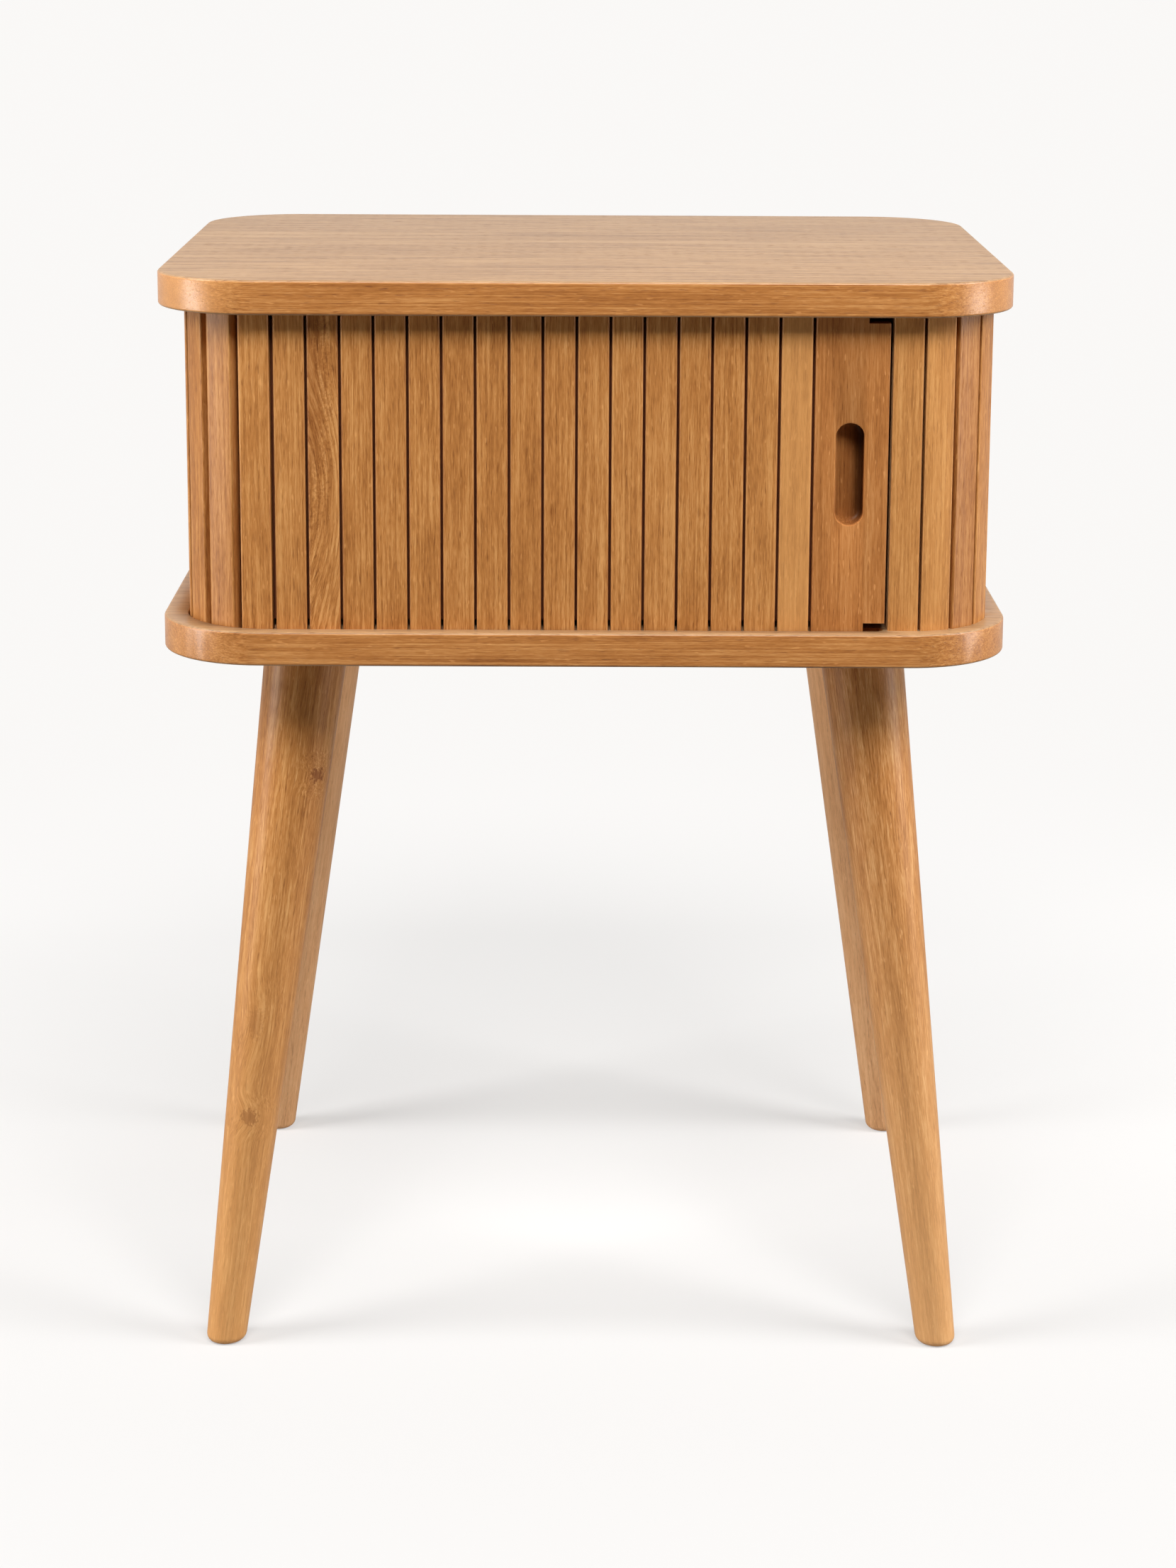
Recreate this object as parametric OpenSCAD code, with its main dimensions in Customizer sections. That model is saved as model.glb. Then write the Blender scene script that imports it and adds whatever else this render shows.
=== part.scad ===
// Bedside table with a tambour door: two rounded oak boards, a slatted body between
// them and four splayed round legs. Millimetres, +Z up, front towards -Y.
// The origin is on the floor, midway between the feet.

/* [Overall] */
// Width of the top and bottom boards
table_w = 450; // [430:5:520]
// Depth of the top and bottom boards
table_d = 350; // [330:5:420]
// Height of the table top above the floor
table_h = 585; // [520:5:700]
// Clear height between the two boards
body_h = 166; // [140:2:240]

/* [Boards] */
// Thickness of the top board
top_t = 18; // [16:0.5:28]
// Thickness of the bottom board
bottom_t = 18; // [16:0.5:28]
// Radius of the boards' corners in plan
board_r = 55; // [48:1:60]
// Rounding of the boards' long edges
board_arris = 1.5; // [0.5:0.25:3]

/* [Slats] */
// Gap from one slat to the next
slat_gap = 1.3; // [1:0.1:2]
// Thickness of one slat
slat_t = 6; // [5:0.5:7]
// Chamfer on the outer edges of a slat
slat_edge = 1.4; // [0.3:0.1:1.6]
// Number of front slats that leave the doorway when the door opens
front_count = 16; // [14:1:18]
// Set back of the slats from the front edge of the boards
front_inset = 10; // [8:0.5:14]
// Set back of the moving slats from the left edge of the boards
left_inset = 13.5; // [12:0.5:16]
// Set back of the fixed slats from the right edge of the boards
right_inset = 10.5; // [8:0.5:14]
// Corner radius of the moving band, at the back of its slats
band_r = 40.5; // [39:0.5:42]
// Length of the left bend before the middle of its first slat
band_lead_in = 5.8; // [5:0.1:7]
// Corner radius of the fixed slats, at their backs
fixed_r = 37.5; // [36:0.5:39]
// Distance from the middle of the first fixed slat to the start of its bend
fixed_flat = 4.2; // [3.5:0.1:5]

/* [Groove] */
// Depth of the band's groove in each board
groove_depth = 8; // [6:0.5:9]
// Free space in the groove outside the slats
groove_out = 1.3; // [1:0.1:2]
// Free space in the groove behind the slats
groove_in = 0.6; // [0.4:0.1:1]
// Free height under the slats in the bottom groove
foot_gap = 0.5; // [0.3:0.1:1]
// Free height over the slats in the top groove
head_gap = 1; // [0.5:0.1:2]

/* [Door] */
// Width of the lead slat
lead_w = 27.3; // [26.5:0.1:28]
// Thickness of the lead slat's middle, behind which the hand pulls
lead_t = 15; // [12:0.5:18]
// Width of the thin margin of the lead slat that laps the canvas
lead_lap = 6; // [4:0.5:8]
// Free height over and under the thick middle of the lead slat
lead_free = 1.5; // [0.5:0.25:3]
// Width of the strip glued to the lead slat's closing edge
strip_w = 11.3; // [10:0.1:12]
// Free height over and under the strip
strip_free = 4; // [2:0.25:6]
// Gap between the closed door and the fixed slats
closing_gap = 1.5; // [1:0.1:2.5]
// Thickness of the canvas on the back of the slats
canvas_t = 0.6; // [0.4:0.1:0.8]
// Free height of the canvas over and under its edges
canvas_free = 4; // [2:0.5:8]

/* [Finger Pull] */
// Width of the finger pull
pull_w = 15; // [12:0.5:16]
// Height of the finger pull
pull_h = 54; // [40:1:80]
// Depth of the finger pull
pull_depth = 10; // [7:0.5:11]
// Distance from the pull's centre to the glue line of the strip
pull_offset = 8.5; // [8.5:0.1:10]

/* [Lining And Back] */
// Thickness of the inner lining
liner_t = 9; // [6:0.5:12]
// Free space between the canvas line and the lining
liner_gap = 1.5; // [1.2:0.1:2.5]
// Thickness of the outer back panel
back_t = 6; // [4:0.5:8]
// Set back of the outer back panel from the back edge of the boards
back_inset = 9; // [7:0.5:12]
// Distance from the inner face of the outer back panel to the band
back_gap = 4; // [3.5:0.25:6]
// Depth to which the outer back panel is let into each board
back_tongue = 5; // [3:0.5:7]
// Play round the outer back panel's edges in the boards
back_play = 0.2; // [0.1:0.05:0.4]

/* [Legs] */
// Radius of a leg where it meets the board
leg_top_r = 22.5; // [18:0.5:25]
// Radius of a leg at the floor
leg_foot_r = 10.7; // [9:0.1:14]
// Set in of the leg tops from the sides of the boards
leg_inset_x = 75.6; // [70:0.2:85]
// Set in of the leg tops from the front and back of the boards
leg_inset_y = 62.2; // [58:0.2:75]
// Sideways splay of the legs from top to foot
leg_splay_x = 45.6; // [20:0.2:60]
// Splay of the legs to the front and back from top to foot
leg_splay_y = 48.2; // [20:0.2:60]
// Rounding of the feet's edges
foot_round = 4.2; // [2:0.1:6]

/* [Fittings] */
// Radius of the hanger bolts
bolt_r = 3.95; // [2.9:0.05:4.95]
// Length of a hanger bolt inside the leg
bolt_in_leg = 40; // [25:1:60]
// Length of a hanger bolt inside the board
bolt_in_board = 10; // [6:0.5:11]
// Outer radius of the insert nuts
insert_r = 6; // [5.5:0.1:8]
// Length of the insert nuts along the leg's axis
insert_len = 12; // [8:0.5:13]
// Radius of the dowels
dowel_r = 3; // [2:0.25:3.5]
// Length of a dowel on each side of the joint
dowel_half = 11; // [8:0.5:13]
// Play round the bolts, inserts and dowels
fitting_play = 0.05; // [0.02:0.01:0.1]

/* [Hidden] */
$fn = 96;
over = 1;

// small clearances
groove_stop = 2;
track_stop = 4;
post_gap = 0.3;
canvas_end_gap = 0.3;
bore_end_gap = 0.3;

// dowels: distances from the ends of the lining, and share of the posts' radius
side_dowel_in = 30;
back_dowel_in = 50;
post_dowel_share = 0.4;

// heights
floor_z = table_h - top_t - body_h;
ceiling_z = table_h - top_t;
under_z = floor_z - bottom_t;
slat_z0 = floor_z - groove_depth + foot_gap;
slat_z1 = ceiling_z + groove_depth - head_gap;

// lines on which the backs of the slats lie
front_y = -table_d / 2 + front_inset + slat_t;
left_x = -table_w / 2 + left_inset + slat_t;
right_x = table_w / 2 - right_inset - slat_t;
track_y = table_d / 2 - back_inset - back_t - back_gap - slat_t;
fixed_back_y = -front_y;

// centres of the corner bends: moving band on the left, fixed slats on the right
band_cx = left_x + band_r;
band_front_cy = front_y + band_r;
band_back_cy = track_y - band_r;
fixed_cx = right_x - fixed_r;
fixed_front_cy = front_y + fixed_r;
fixed_back_cy = fixed_back_y - fixed_r;

// the slats' width follows from their number between the bend and the fixed slats
front_x0 = band_cx - band_lead_in;
slat_run = fixed_cx - fixed_flat - closing_gap - strip_w - lead_w - front_x0;
slat_pitch = slat_run / (front_count + 1);
slat_w = slat_pitch - slat_gap;

// lengths along the band: 0 is where the front-left bend starts
band_bend = band_r * PI / 2;
band_side = band_back_cy - band_front_cy;
band_back_s = 2 * band_bend + band_side;
corner_count = 4;
side_count = ceil((band_bend + band_side - band_lead_in) / slat_pitch) - corner_count;
tail_count = 5;

// the closed door, from left to right along the front
last_slat_x = front_x0 + front_count * slat_pitch;
lead_x0 = last_slat_x + slat_w / 2 + slat_gap;
lead_x1 = lead_x0 + lead_w;
strip_x1 = lead_x1 + strip_w;
fixed_x0 = strip_x1 + closing_gap;
door_end_x = fixed_x0 - groove_stop;
pull_x = lead_x1 - pull_offset;
pull_z = (floor_z + ceiling_z) / 2;

// fixed slats, laid out along their faces: the first stands beside the closed door, and
// their flanks slope so that they stand as close in the bends as on the flat
fixed_face_r = fixed_r + slat_t;
fixed_bend = fixed_face_r * PI / 2;
fixed_side = fixed_back_cy - fixed_front_cy;
fixed_step = slat_pitch / fixed_face_r * 180 / PI;
fixed_slope = (slat_t - slat_edge) * tan(fixed_step / 2);
fixed_front_count = 4;
fixed_side_count = ceil((fixed_bend + fixed_side + fixed_flat) / slat_pitch) - fixed_front_count;
fixed_back_count = ceil((2 * fixed_bend + fixed_side + fixed_flat) / slat_pitch)
    + 1 - fixed_front_count - fixed_side_count;
fixed_last = fixed_front_count + fixed_side_count + fixed_back_count - 1;
fixed_last_s = -fixed_flat + fixed_last * slat_pitch;
fixed_last_x = fixed_cx - (fixed_last_s - 2 * fixed_bend - fixed_side) - slat_w / 2;

// lining, back panel and back track
liner_r = band_r - liner_gap;
back_panel_y = table_d / 2 - back_inset - back_t;
back_panel_x0 = band_cx + slat_pitch / 2;
back_panel_x1 = fixed_last_x - closing_gap / 2;
track_end_x = fixed_last_x - track_stop;
post_back_x = fixed_last_x - post_gap;

// ---------- plan shapes ----------

// A rectangle from corner a to corner b with round corners.
module round_rect(a, b, r) {
    x0 = a[0];
    y0 = a[1];
    x1 = b[0];
    y1 = b[1];
    translate([x0 + r, y0]) square([x1 - x0 - 2 * r, y1 - y0]);
    translate([x0, y0 + r]) square([x1 - x0, y1 - y0 - 2 * r]);
    for (x = [x0 + r, x1 - r])
        for (y = [y0 + r, y1 - r])
            translate([x, y]) circle(r);
}

// The strip of plan that follows the band, from out outside to in inside its back line.
module band_strip(out, in, front_end, back_end) {
    right = table_w;
    difference() {
        intersection() {
            round_rect([left_x - out, front_y - out], [right, track_y + out], band_r + out);
            translate([-table_w, -table_d]) square([table_w + band_cx, 2 * table_d]);
        }
        round_rect([left_x + in, front_y + in], [right, track_y - in], band_r - in);
    }
    translate([band_cx - over, front_y - out]) square([front_end - band_cx + over, out + in]);
    translate([band_cx - over, track_y - in]) square([back_end - band_cx + over, out + in]);
}

// The groove's plan, with round ends as a router leaves them.
module groove_plan() {
    half = (groove_out + slat_t + groove_in) / 2;
    mid_front = front_y - slat_t - groove_out + half;
    mid_back = track_y - groove_in + half;
    band_strip(slat_t + groove_out, groove_in, door_end_x - half, track_end_x - half);
    translate([door_end_x - half, mid_front]) circle(half);
    translate([track_end_x - half, mid_back]) circle(half);
}

// The edge profile of a board from a corner's centre out: r wide, t high.
module edge_profile(r, t) {
    square([r - board_arris, t]);
    translate([0, board_arris]) square([r, t - 2 * board_arris]);
    for (z = [board_arris, t - board_arris])
        translate([r - board_arris, z]) circle(board_arris);
}

// A rounded board of thickness t with its underside at z = 0.
module board_blank(t) {
    x = table_w / 2 - board_r;
    y = table_d / 2 - board_r;
    translate([-x, -y, 0]) cube([2 * x, 2 * y, t]);
    for (i = [0 : 3]) {
        sx = (i == 0 || i == 3) ? 1 : -1;
        sy = i < 2 ? 1 : -1;
        translate([sx * x, sy * y, 0]) rotate([0, 0, 90 * i])
            rotate_extrude(angle = 90) edge_profile(board_r, t);
    }
    for (a = [0, 180]) {
        rotate([0, 0, a]) translate([x, y, 0]) rotate([90, 0, 0])
            linear_extrude(2 * y) edge_profile(board_r, t);
        rotate([0, 0, a]) translate([-x, y, 0]) rotate([90, 0, 90])
            linear_extrude(2 * x) edge_profile(board_r, t);
    }
}

// ---------- slats ----------

// Point and heading of the band s millimetres past the start of its front-left bend.
function bend_place(s, cx, cyf, cyb, r) =
    let (bend = r * PI / 2, side = cyb - cyf)
    s <= 0 ? [cx - s, cyf - r, 0] :
    s <= bend ? let (a = s / r * 180 / PI) [cx - r * sin(a), cyf - r * cos(a), -a] :
    s <= bend + side ? [cx - r, cyf + s - bend, -90] :
    s <= 2 * bend + side ?
        let (a = 90 + (s - bend - side) / r * 180 / PI) [cx - r * sin(a), cyb - r * cos(a), -a] :
    [cx + s - 2 * bend - side, cyb + r, -180];

module on_band(s) {
    p = bend_place(s, band_cx, band_front_cy, band_back_cy, band_r);
    translate([p[0], p[1], 0]) rotate([0, 0, p[2]]) children();
}

module on_fixed(s) {
    p = bend_place(s, -fixed_cx, fixed_front_cy, fixed_back_cy, fixed_face_r);
    mirror([1, 0, 0]) translate([p[0], p[1], 0]) rotate([0, 0, p[2]])
        translate([0, slat_t, 0]) children();
}

// A slat with its back on y = 0 and chamfered outer edges. Its back is narrower than its
// face by slope on each side.
module slat_bar(z0, z1, slope = 0) {
    half = slat_w / 2;
    translate([0, 0, z0]) linear_extrude(z1 - z0)
        polygon([[-half + slope, 0], [-half, -slat_t + slat_edge], [-half + slat_edge, -slat_t],
                 [half - slat_edge, -slat_t], [half, -slat_t + slat_edge], [half - slope, 0]]);
}

module band_slats(first, count) {
    for (i = [first : first + count - 1])
        on_band(band_lead_in + i * slat_pitch) slat_bar(slat_z0, slat_z1);
}

module fixed_slats(first, count) {
    for (i = [first : first + count - 1])
        on_fixed(-fixed_flat + i * slat_pitch) slat_bar(floor_z, ceiling_z, fixed_slope);
}

module front_slat(i) {
    color([0.80, 0.58, 0.33])
        on_band(band_lead_in - i * slat_pitch) slat_bar(slat_z0, slat_z1);
}

module corner_slats() {
    color([0.82, 0.61, 0.35]) band_slats(0, corner_count);
}

module side_slats() {
    color([0.79, 0.57, 0.33]) band_slats(corner_count, side_count);
}

module tail_slats() {
    color([0.77, 0.55, 0.31]) band_slats(corner_count + side_count, tail_count);
}

module fixed_corner_slats() {
    color([0.82, 0.60, 0.35]) fixed_slats(0, fixed_front_count);
}

module fixed_side_slats() {
    color([0.79, 0.57, 0.33]) fixed_slats(fixed_front_count, fixed_side_count);
}

module fixed_back_slats() {
    color([0.77, 0.55, 0.31])
        fixed_slats(fixed_front_count + fixed_side_count, fixed_back_count);
}

// ---------- canvas ----------

canvas_z0 = floor_z + canvas_free;
canvas_h = body_h - 2 * canvas_free;
canvas_split_x = front_x0 + slat_pitch / 2;
tail_s = band_lead_in + (corner_count + side_count + tail_count - 1) * slat_pitch + slat_w / 2;
tail_x = band_cx + tail_s - band_back_s;

module front_canvas() {
    color([0.35, 0.30, 0.25])
        translate([canvas_split_x, front_y, canvas_z0])
            cube([lead_x0 + lead_lap - canvas_end_gap - canvas_split_x, canvas_t, canvas_h]);
}

module band_canvas() {
    color([0.35, 0.30, 0.25])
        translate([0, 0, canvas_z0]) linear_extrude(canvas_h)
            band_strip(0, canvas_t, canvas_split_x, tail_x);
}

// ---------- door edge ----------

module pull_pocket() {
    face_y = front_y - slat_t;
    rise = pull_h / 2 - pull_w / 2;
    translate([pull_x, face_y - over, pull_z]) {
        for (z = [-rise, rise])
            translate([0, 0, z]) rotate([-90, 0, 0]) cylinder(h = pull_depth + over, d = pull_w);
        translate([-pull_w / 2, 0, -rise]) cube([pull_w, pull_depth + over, 2 * rise]);
    }
}

module lead_slat() {
    face_y = front_y - slat_t;
    color([0.74, 0.50, 0.27])
        difference() {
            union() {
                translate([lead_x0, face_y, slat_z0]) linear_extrude(slat_z1 - slat_z0)
                    polygon([[0, slat_t], [0, slat_edge], [slat_edge, 0], [lead_w, 0],
                             [lead_w, slat_t]]);
                translate([lead_x0 + lead_lap, face_y + slat_edge, floor_z + lead_free])
                    cube([lead_w - lead_lap, lead_t - slat_edge, body_h - 2 * lead_free]);
            }
            pull_pocket();
        }
}

module lead_edge_strip() {
    color([0.72, 0.48, 0.26])
        translate([lead_x1, front_y - slat_t, floor_z + strip_free])
            cube([strip_w, lead_t, body_h - 2 * strip_free]);
}

// ---------- lining, posts and back ----------

liner_places_y = [band_front_cy + side_dowel_in, band_back_cy - side_dowel_in];
liner_mid_x = left_x + liner_gap + liner_t / 2;
liner_right_x = right_x - liner_t / 2;
liner_back_y = track_y - liner_gap - liner_t / 2;
post_dowel_in = fixed_r * post_dowel_share;

// Plan positions of the dowels that join the body to the boards.
dowel_places = concat(
    [for (y = liner_places_y) [liner_mid_x, y]],
    [for (y = liner_places_y) [liner_right_x, y]],
    [for (x = [band_cx + back_dowel_in, post_back_x - back_dowel_in]) [x, liner_back_y]],
    [for (y = [fixed_front_cy - post_dowel_in, fixed_back_cy + post_dowel_in])
        [fixed_cx + post_dowel_in, y]]);

module dowel_bores() {
    for (p = dowel_places)
        for (z = [floor_z, ceiling_z])
            translate([p[0], p[1], z - dowel_half - bore_end_gap])
                cylinder(h = 2 * (dowel_half + bore_end_gap), r = dowel_r + fitting_play);
}

module dowels() {
    color([0.88, 0.76, 0.55])
        for (p = dowel_places)
            for (z = [floor_z, ceiling_z])
                translate([p[0], p[1], z - dowel_half])
                    cylinder(h = 2 * dowel_half, r = dowel_r);
}

module liner_left() {
    color([0.83, 0.66, 0.43])
        difference() {
            translate([left_x + liner_gap, band_front_cy, floor_z])
                cube([liner_t, band_side, body_h]);
            dowel_bores();
        }
}

module liner_back() {
    color([0.83, 0.66, 0.43])
        difference() {
            translate([band_cx, track_y - liner_gap - liner_t, floor_z])
                cube([post_back_x - band_cx, liner_t, body_h]);
            dowel_bores();
        }
}

module liner_right() {
    color([0.83, 0.66, 0.43])
        difference() {
            translate([right_x - liner_t, fixed_front_cy, floor_z])
                cube([liner_t, fixed_side, body_h]);
            dowel_bores();
        }
}

// A quarter of the bent lining: sy is -1 at the front and 1 at the back.
module liner_corner(cy, sy) {
    color([0.80, 0.63, 0.41])
        translate([band_cx, cy, floor_z]) linear_extrude(body_h)
            intersection() {
                difference() {
                    circle(liner_r);
                    circle(liner_r - liner_t);
                }
                translate([-liner_r - over, sy > 0 ? 0 : -liner_r - over])
                    square(liner_r + over);
            }
}

module liner_corner_front() {
    liner_corner(band_front_cy, -1);
}

module liner_corner_back() {
    liner_corner(band_back_cy, 1);
}

// A quarter-round post with a straight flank that reaches x0.
module corner_post(cy, sy, x0) {
    color([0.78, 0.58, 0.35])
        difference() {
            translate([0, 0, floor_z]) linear_extrude(body_h) {
                intersection() {
                    translate([fixed_cx, cy]) circle(fixed_r);
                    translate([fixed_cx - over, sy > 0 ? cy : cy - fixed_r])
                        square([fixed_r + over, fixed_r]);
                }
                translate([x0, sy > 0 ? cy : cy - fixed_r]) square([fixed_cx - x0, fixed_r]);
            }
            dowel_bores();
        }
}

module post_front_right() {
    corner_post(fixed_front_cy, -1, fixed_x0);
}

module post_back_right() {
    corner_post(fixed_back_cy, 1, post_back_x);
}

module outer_back_panel() {
    color([0.80, 0.62, 0.40])
        translate([back_panel_x0, back_panel_y, floor_z - back_tongue])
            cube([back_panel_x1 - back_panel_x0, back_t, body_h + 2 * back_tongue]);
}

module back_panel_slots() {
    deep = back_tongue + back_play;
    for (z = [floor_z - deep, ceiling_z - over])
        translate([back_panel_x0 - back_play, back_panel_y - back_play, z])
            cube([back_panel_x1 - back_panel_x0 + 2 * back_play, back_t + 2 * back_play,
                  deep + over]);
}

// ---------- legs and their fittings ----------

leg_top_x = table_w / 2 - leg_inset_x;
leg_top_y = table_d / 2 - leg_inset_y;
leg_foot_x = leg_top_x + leg_splay_x;
leg_foot_y = leg_top_y + leg_splay_y;
leg_drop = [leg_splay_x, leg_splay_y, -under_z];
leg_len = norm(leg_drop);
leg_tilt = acos(leg_drop[2] / leg_len);
leg_turn = atan2(leg_drop[1], leg_drop[0]);
leg_taper = (leg_top_r - leg_foot_r) / leg_len;
leg_extra = 12;

// Puts children on a leg's axis: z = 0 at the board's underside, z up into the board.
module on_leg(sx, sy) {
    scale_x = sx > 0 ? 0 : 1;
    scale_y = sy > 0 ? 0 : 1;
    mirror([scale_x, 0, 0]) mirror([0, scale_y, 0])
        translate([leg_top_x, leg_top_y, under_z])
            rotate([0, 0, leg_turn]) rotate([0, leg_tilt - 180, 0]) children();
}

// The form that rounds a foot, on the upright axis through the foot's middle. Above the
// rounding it widens faster than the leg splays, so that it leaves the rest of the leg whole.
module foot_form() {
    flat_r = leg_foot_r - foot_round;
    top_z = foot_round + under_z;
    rotate_extrude()
        polygon(concat(
            [[0, 0]],
            [for (a = [0 : 30 : 90]) [flat_r + foot_round * sin(a), foot_round * (1 - cos(a))]],
            [[leg_foot_r + under_z / 2, top_z], [0, top_z]]));
}

module leg(sx, sy) {
    color([0.76, 0.54, 0.30])
        difference() {
            intersection() {
                on_leg(sx, sy) translate([0, 0, -leg_len - leg_extra])
                    cylinder(h = leg_len + 2 * leg_extra, r1 = leg_foot_r - leg_extra * leg_taper,
                             r2 = leg_top_r + leg_extra * leg_taper);
                translate([sx * leg_foot_x, sy * leg_foot_y, 0]) foot_form();
            }
            translate([-table_w, -table_d, under_z])
                cube([2 * table_w, 2 * table_d, 4 * leg_top_r]);
            on_leg(sx, sy) translate([0, 0, -bolt_in_leg - bore_end_gap])
                cylinder(h = bolt_in_leg + 2 * leg_top_r, r = bolt_r + fitting_play);
        }
}

module leg_front_left() {
    leg(-1, -1);
}

module leg_front_right() {
    leg(1, -1);
}

module leg_back_left() {
    leg(-1, 1);
}

module leg_back_right() {
    leg(1, 1);
}

module hanger_bolts() {
    color([0.70, 0.70, 0.72])
        for (sx = [-1, 1])
            for (sy = [-1, 1])
                on_leg(sx, sy) translate([0, 0, -bolt_in_leg])
                    cylinder(h = bolt_in_leg + bolt_in_board, r = bolt_r);
}

module insert_nuts() {
    color([0.80, 0.68, 0.38])
        for (sx = [-1, 1])
            for (sy = [-1, 1])
                difference() {
                    on_leg(sx, sy) difference() {
                        translate([0, 0, -insert_r]) cylinder(h = insert_len + insert_r, r = insert_r);
                        translate([0, 0, -2 * insert_r])
                            cylinder(h = 2 * (insert_len + insert_r), r = bolt_r + fitting_play);
                    }
                    translate([-table_w, -table_d, under_z - 4 * insert_r])
                        cube([2 * table_w, 2 * table_d, 4 * insert_r]);
                }
}

module insert_bores() {
    for (sx = [-1, 1])
        for (sy = [-1, 1])
            on_leg(sx, sy) translate([0, 0, -2 * insert_r])
                cylinder(h = insert_len + 2 * insert_r + bore_end_gap,
                         r = insert_r + fitting_play);
}

// ---------- boards ----------

module top_board() {
    color([0.80, 0.62, 0.44])
        difference() {
            translate([0, 0, ceiling_z]) board_blank(top_t);
            translate([0, 0, ceiling_z - over]) linear_extrude(groove_depth + over) groove_plan();
            back_panel_slots();
            dowel_bores();
        }
}

module bottom_board() {
    color([0.80, 0.58, 0.34])
        difference() {
            translate([0, 0, under_z]) board_blank(bottom_t);
            translate([0, 0, floor_z - groove_depth])
                linear_extrude(groove_depth + over) groove_plan();
            back_panel_slots();
            dowel_bores();
            insert_bores();
        }
}

top_board();
bottom_board();
outer_back_panel();
liner_left();
liner_back();
liner_right();
liner_corner_front();
liner_corner_back();
post_front_right();
post_back_right();
lead_slat();
lead_edge_strip();
for (i = [1 : front_count])
    front_slat(i);
front_canvas();
corner_slats();
side_slats();
tail_slats();
band_canvas();
fixed_corner_slats();
fixed_side_slats();
fixed_back_slats();
leg_front_left();
leg_front_right();
leg_back_left();
leg_back_right();
hanger_bolts();
insert_nuts();
dowels();
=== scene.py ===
"""Bedside table with a tambour door: oak boards, slats, finger pull and turned legs."""
import math
import random

import bmesh
import bpy
from mathutils import Matrix, Vector


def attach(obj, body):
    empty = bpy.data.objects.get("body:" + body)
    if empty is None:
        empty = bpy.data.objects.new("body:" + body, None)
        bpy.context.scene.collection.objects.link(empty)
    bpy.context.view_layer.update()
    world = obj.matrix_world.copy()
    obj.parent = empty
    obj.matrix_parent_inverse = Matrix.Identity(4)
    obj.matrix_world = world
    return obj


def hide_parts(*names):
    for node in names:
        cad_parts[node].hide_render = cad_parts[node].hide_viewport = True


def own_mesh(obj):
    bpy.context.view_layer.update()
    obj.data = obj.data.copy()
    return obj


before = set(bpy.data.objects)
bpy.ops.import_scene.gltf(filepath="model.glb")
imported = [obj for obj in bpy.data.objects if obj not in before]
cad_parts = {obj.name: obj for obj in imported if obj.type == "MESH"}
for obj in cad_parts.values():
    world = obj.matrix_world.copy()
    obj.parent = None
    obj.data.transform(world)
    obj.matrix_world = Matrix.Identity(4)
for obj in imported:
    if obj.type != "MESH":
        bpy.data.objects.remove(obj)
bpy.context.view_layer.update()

# ---------------------------------------------------------------- sizes, in metres

# the two boards: half their width and depth, their corners, and where they lie
HEIGHT = 0.585
BOARD_X = 0.225
BOARD_Y = 0.175
BOARD_R = 0.055
BOARD_T = 0.018
UNDER_Z = 0.383
FLOOR_Z = UNDER_Z + BOARD_T
CEILING_Z = HEIGHT - BOARD_T

# a slat, its rounded edges, and how far a sliding one runs into the boards' grooves
SLAT_W = 0.0162
SLAT_T = 0.006
SLAT_PITCH = 0.0175
SLAT_FACE_ROUND = 0.0012
SLAT_BACK_ROUND = 0.0004
SLAT_FOOT_Z = FLOOR_Z - 0.0075
SLAT_HEAD_Z = CEILING_Z + 0.007

# the band's bends on the left, and from the start of the first to its first slat
BAND_CX = -0.165
BAND_FRONT_CY = -0.1185
BAND_BACK_CY = 0.1095
BAND_R = 0.0405
BAND_LEAD_IN = 0.0058

# the fixed slats' bends on the right, and from their first slat to the start of the first
FIXED_CX = 0.171
FIXED_FRONT_CY = -0.1215
FIXED_BACK_CY = 0.1215
FIXED_FACE_R = 0.0435
FIXED_FLAT = 0.0042
FIXED_SLOPE = 0.0009

# the front: its canvas, the line it folds to, the lead slat and its strip. The canvas and
# the strip end a little way from the boards, and so does the lead slat's thick middle
FRONT_SLATS = 16
FRONT_Y = BAND_FRONT_CY - BAND_R
FACE_Y = FRONT_Y - SLAT_T
FOLD_X = -0.16205
CANVAS_T = 0.0006
CANVAS_LAP = 0.0057
BETWEEN_Z = (FLOOR_Z + 0.004, CEILING_Z - 0.004)
LEAD_X = (0.1186, 0.1459)
LEAD_T = 0.015
LEAD_ROUND = 0.0014
LEAD_STEP = 0.006
LEAD_GAP = 0.0015
STRIP_X = (LEAD_X[1], 0.1572)
STRIP_ROUND = 0.0004

# the finger pull. Its bottom slants, deeper on the right, and PULL_LIFT is shallower all over
PULL_X = 0.1374
PULL_Z = 0.484
PULL_W = 0.015
PULL_H = 0.054
PULL_DEPTH = 0.010
PULL_SLANT = 0.5
PULL_LIFT = 0.0005
PULL_BOTTOM_ROUND = 0.0035
PULL_RIM_ROUND = 0.0006

# the axis of the right back leg, the legs' taper, and what is cut off at both ends
LEG_TOP = Vector((0.1494, 0.1128, UNDER_Z))
LEG_FOOT = Vector((0.195, 0.161, 0))
LEG_TOP_R = 0.0225
LEG_FOOT_R = 0.0107
LEG_SIDES = 72
LEG_SPARE = 0.012
LEG_FOOT_ROUND = 0.0042


# ---------------------------------------------------------------- bench tools

def deselect():
    bpy.ops.object.select_all(action="DESELECT")


def pick(piece):
    """Selects one piece and makes it active."""
    deselect()
    piece.select_set(True)
    bpy.context.view_layer.objects.active = piece


def settle(piece):
    """Puts a piece's place, turn and size into its mesh."""
    pick(piece)
    bpy.ops.object.transform_apply(location=True, rotation=True, scale=True)


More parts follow.
